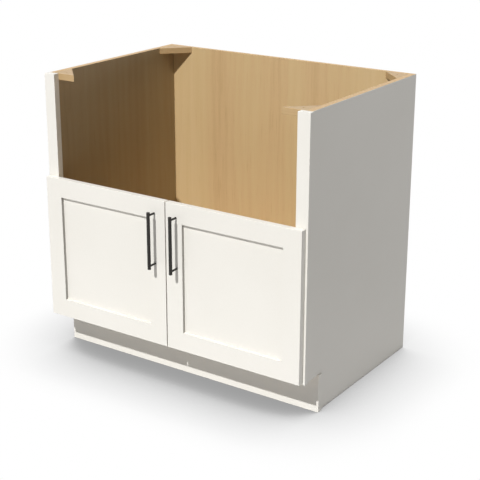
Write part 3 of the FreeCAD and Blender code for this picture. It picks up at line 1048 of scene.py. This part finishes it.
@dataclass
class ScrewHead:
    """The recessed head of a cross-drive screw, and the shank under it.

    The first four sizes are in metres. The others are shares: of the head's radius or
    height, and for the tip of the shank's radius or length.
    """

    head_radius: float
    head_height: float
    shank_radius: float
    length: float
    hub: float = 0.03
    brim: float = 0.06
    fall: float = 0.30
    brim_height: float = 0.62
    lip: float = 0.02
    tip_start: float = 0.93
    tip_radius: float = 0.6
    recess_reach: float = 0.62
    recess_width: float = 0.17
    recess_depth: float = 0.62
    recess_soft: float = 0.10
    recess_least_height: float = 0.55
    rings: int = 26
    segments: int = 64

    def surface(self, seat: Sequence[float], direction: Sequence[float]) -> Surface:
        """The whole screw.

        The head's height falls with the square of the radius. A cross of two crossed bars
        with soft edges is pressed into it.

        Args:
            seat: The middle of the head's underside.
            direction: From the head to the tip.

        Returns:
            The closed surface.
        """
        radius, height = self.head_radius, self.head_height
        dome = [(ring * radius, -height * (1 - self.fall * ring ** 2))
                for ring in np.linspace(self.hub, 1 - self.brim, self.rings)]
        brim = rounded_corner((radius * (1 - self.brim), -height * self.brim_height),
                              radius * self.brim, start=-80, end=0, steps=4)
        shank = [(radius, -self.lip * height), (radius * (1 - self.lip), 0.0),
                 (self.shank_radius, 0.0), (self.shank_radius, self.length * self.tip_start),
                 (self.shank_radius * self.tip_radius, self.length)]
        return turned(dome + brim + shank, seat, direction, self.segments, self.carve)

    def carve(self, local: np.ndarray) -> np.ndarray:
        """Press the cross into the top of the head.

        Args:
            local: The screw's points, its axis last.

        Returns:
            The points with the cross pressed in.
        """
        across = np.abs(local[:, :2]) / self.head_radius
        bar = np.clip((self.recess_width - across) / self.recess_soft + 0.5, 0, 1)
        run = np.clip((self.recess_reach - across) / self.recess_soft + 0.5, 0, 1)
        cross = np.maximum(bar[:, 0] * run[:, 1], bar[:, 1] * run[:, 0])
        on_top = local[:, 2] < -self.recess_least_height * self.head_height
        pressed = local.copy()
        pressed[:, 2] += cross * on_top * self.recess_depth * self.head_height
        return pressed


@dataclass
class BarPull:
    """A round bar on two posts, with its screws from the back of the door."""

    side: Side
    edge: float = 0.7 * MM
    foot: float = 0.35 * MM
    tuck: float = 2.0 * MM
    bore_spare: float = 0.8 * MM
    screw_head: float = 1.3 * MM
    screw_shank: float = 2.0 * MM
    post_segments: int = 36

    def build(self) -> None:
        """Build the bar, its posts and its screws."""
        body = f"{self.side.word}_door"
        coated = Role(body, Slot.BLACK, [PowderCoat()])
        bar, posts, screws = (f"{self.side.word}_pull_{part}"
                              for part in ("bar", "posts", "screws"))
        low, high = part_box(bar)
        middle = (low + high) / 2
        radius = min(high.x - low.x, high.y - low.y) / 2
        length = high.z - low.z
        corner = radius - self.edge
        profile = ([(HUB * radius, 0.0)] + rounded_corner((corner, self.edge), self.edge, -90, 0)
                   + rounded_corner((corner, length - self.edge), self.edge, 0, 90)
                   + [(HUB * radius, length)])
        place_surface(bar, turned(profile, (middle.x, middle.y, low.z), (0, 0, 1)), coated)

        post_low, post_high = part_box(posts)
        screw_low, screw_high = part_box(screws)
        post_radius = (post_high.x - post_low.x) / 2
        levels = (post_low.z + post_radius, post_high.z - post_radius)
        reach = post_high.y - middle.y - radius + self.tuck
        bore_end = post_high.y - screw_low.y + self.bore_spare
        profile = [(HUB * self.screw_shank, bore_end), (self.screw_shank, bore_end),
                   (self.screw_shank, 0.0), (post_radius - self.foot, 0.0),
                   (post_radius, self.foot), (post_radius, reach)]
        stems = [turned(profile, (middle.x, post_high.y, level), (0, -1, 0),
                        self.post_segments) for level in levels]
        place_surface(posts, joined(stems), coated)

        head = ScrewHead((screw_high.x - screw_low.x) / 2, self.screw_head, self.screw_shank,
                         screw_high.y - screw_low.y - self.screw_head)
        seat = screw_high.y - self.screw_head
        heads = [head.surface((middle.x, seat, level), (0, -1, 0)) for level in levels]
        place_surface(screws, joined(heads), Role(body, Slot.STEEL, [SatinNickel()]))


# -------- hinges

@dataclass
class Hinges:
    """The concealed hinges: arms on the frame, links, cups in the doors, pins and screws."""

    ease: float = 0.3 * MM
    shortest_eased: float = 4 * MM
    pin_chamfer: float = 0.2 * MM
    pin_segments: int = 28
    arm_base: float = 1.6 * MM
    screw_head: float = 2.2 * MM
    screw_head_radius: float = 3.5 * MM
    screw_shank: float = 2.0 * MM

    def build(self) -> None:
        """Build every hinge piece of both doors."""
        for side in Side:
            bodies = {"arm": "carcase", "link": f"{side.word}_links", "cup": f"{side.word}_door"}
            for level in ("lower", "upper"):
                for part, body in bodies.items():
                    ease_copy(f"{side.word}_{level}_hinge_{part}", self.plated(body), self.ease,
                              self.shortest_eased)
            for part in ("arm", "cup"):
                self.pins(f"{side.word}_hinge_{part}_pins", bodies[part])
        self.screws()

    def plated(self, body: str) -> Role:
        """The role of any hinge piece on a body."""
        return Role(body, Slot.STEEL, [SatinNickel()])

    def pins(self, node: str, body: str) -> None:
        """The two pins of one kind in one door's hinges.

        Args:
            node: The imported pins.
            body: The body that carries them.
        """
        low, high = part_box(node)
        radius = min(high.x - low.x, high.y - low.y) / 2
        middle = (low + high) / 2
        chamfer = self.pin_chamfer
        lengths = self.pin_lengths(node)
        pins = []
        for length, start in zip(lengths, (low.z, high.z - lengths[1])):
            profile = [(radius - chamfer, 0.0), (radius, chamfer), (radius, length - chamfer),
                       (radius - chamfer, length)]
            pins.append(turned(profile, (middle.x, middle.y, start), (0, 0, 1),
                               self.pin_segments))
        place_surface(node, joined(pins), self.plated(body))

    def pin_lengths(self, node: str) -> Pair:
        """The length of the lower and of the upper pin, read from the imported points.

        Args:
            node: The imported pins.

        Returns:
            Two lengths.
        """
        heights = read(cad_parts[node].data.vertices, "co")[:, Axis.Z.value]
        split = (heights.min() + heights.max()) / 2
        return float(np.ptp(heights[heights < split])), float(np.ptp(heights[heights > split]))

    def screws(self) -> None:
        """One cross-drive screw through the base of each arm."""
        low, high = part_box("hinge_screws")
        _, arm_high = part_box("right_lower_hinge_arm")
        middle_y = (low.y + high.y) / 2
        radius = self.screw_head_radius
        seat = arm_high.x - self.arm_base
        head = ScrewHead(radius, self.screw_head, self.screw_shank, (high.x - low.x) / 2 - seat)
        screws = [head.surface((seat * side.value, middle_y, level), (side.value, 0, 0))
                  for side in Side for level in (low.z + radius, high.z - radius)]
        place_surface("hinge_screws", joined(screws), self.plated("carcase"))


# -------- studio

@dataclass(frozen=True)
class Sun:
    """A distant light.

    travels is the way its light goes, level how bright a white surface that faces it gets,
    1 being white, and width how wide it is in the sky, in degrees.
    """

    name: str
    travels: Point
    level: float
    width: float


@dataclass
class Studio:
    """The plain floor, the soft light and the camera.

    The camera looks along +Y, is dipped and is then turned to its left, in degrees.
    """

    floor_half: float = 30.0
    floor_drop: float = 0.2 * MM
    suns: tuple[Sun, ...] = (Sun("key_light", (0.0, 1.0, -1.054), 1.02, 1.0),
                             Sun("top_light", (0.0, 0.0, -1.0), 0.22, 8.0),
                             Sun("rear_light", (-1.0, -1.0, 0.0), 0.11, 20.0))
    sky: Tone = Tone(71, 71, 72)
    camera_place: Point = (1.93384, -2.76105, 1.54807)
    camera_turn: float = 34.6446
    camera_dip: float = 18.2927
    sensor: float = 36.0
    lens: float = 87.52
    shift: Pair = (0.01515, -0.04433)
    view_limit: float = 100.0

    def build(self) -> None:
        """Make the floor, the lights, the sky and the camera."""
        self.floor()
        for sun in self.suns:
            self.light(sun)
        self.surroundings()
        self.camera()

    def floor(self) -> None:
        """One large flat floor just under the object."""
        reach, level = self.floor_half, -self.floor_drop
        corners = [(-reach, -reach, level), (reach, -reach, level), (reach, reach, level),
                   (-reach, reach, level)]
        mesh = bpy.data.meshes.new("studio_floor")
        mesh.from_pydata(corners, [], [(0, 1, 2, 3)])
        mesh.materials.append(StudioFloor().material())
        floor = bpy.data.objects.new("studio_floor", mesh)
        bpy.context.scene.collection.objects.link(floor)

    def light(self, sun: Sun) -> None:
        """Put a distant light into the scene.

        Args:
            sun: The light.
        """
        data = bpy.data.lights.new(sun.name, "SUN")
        data.energy = sun.level * math.pi
        data.angle = math.radians(sun.width)
        lamp = bpy.data.objects.new(sun.name, data)
        lamp.rotation_mode = "QUATERNION"
        lamp.rotation_quaternion = Vector(sun.travels).to_track_quat("-Z", "Y")
        bpy.context.scene.collection.objects.link(lamp)

    def surroundings(self) -> None:
        """A grey sky for light, seen as white."""
        world = bpy.data.worlds.new("studio_sky")
        bpy.context.scene.world = world
        world.use_nodes = True
        graph = Graph(world.node_tree)
        light, seen = (graph.add("ShaderNodeBackground", {"Color": colour, "Strength": 1.0})
                       for colour in (self.sky.linear(), Tone(255, 255, 255).linear()))
        graph.add("ShaderNodeOutputWorld", {
            "Surface": graph.two_looks(light.outputs[0], seen.outputs[0])})

    def camera(self) -> None:
        """The camera at the photograph's angle."""
        data = bpy.data.cameras.new("photo_camera")
        data.sensor_width = self.sensor
        data.lens = self.lens
        data.shift_x, data.shift_y = self.shift
        data.clip_end = self.view_limit
        camera = bpy.data.objects.new("photo_camera", data)
        camera.location = self.camera_place
        camera.rotation_mode = "XYZ"
        camera.rotation_euler = (math.pi / 2 - math.radians(self.camera_dip), 0.0,
                                 math.radians(self.camera_turn))
        bpy.context.scene.collection.objects.link(camera)
        bpy.context.scene.camera = camera


def main() -> None:
    """Build the cabinet's looks in order, then the studio."""
    logging.basicConfig(level=logging.INFO, format="%(name)s %(message)s")
    Carcase().build()
    FaceFrame().build()
    for side in Side:
        Door(side).build()
        BarPull(side).build()
    Hinges().build()
    Studio().build()
    scene = bpy.context.scene
    scene.view_settings.view_transform = "Standard"
    bpy.context.view_layer.update()


if __name__ == "__main__":
    main()
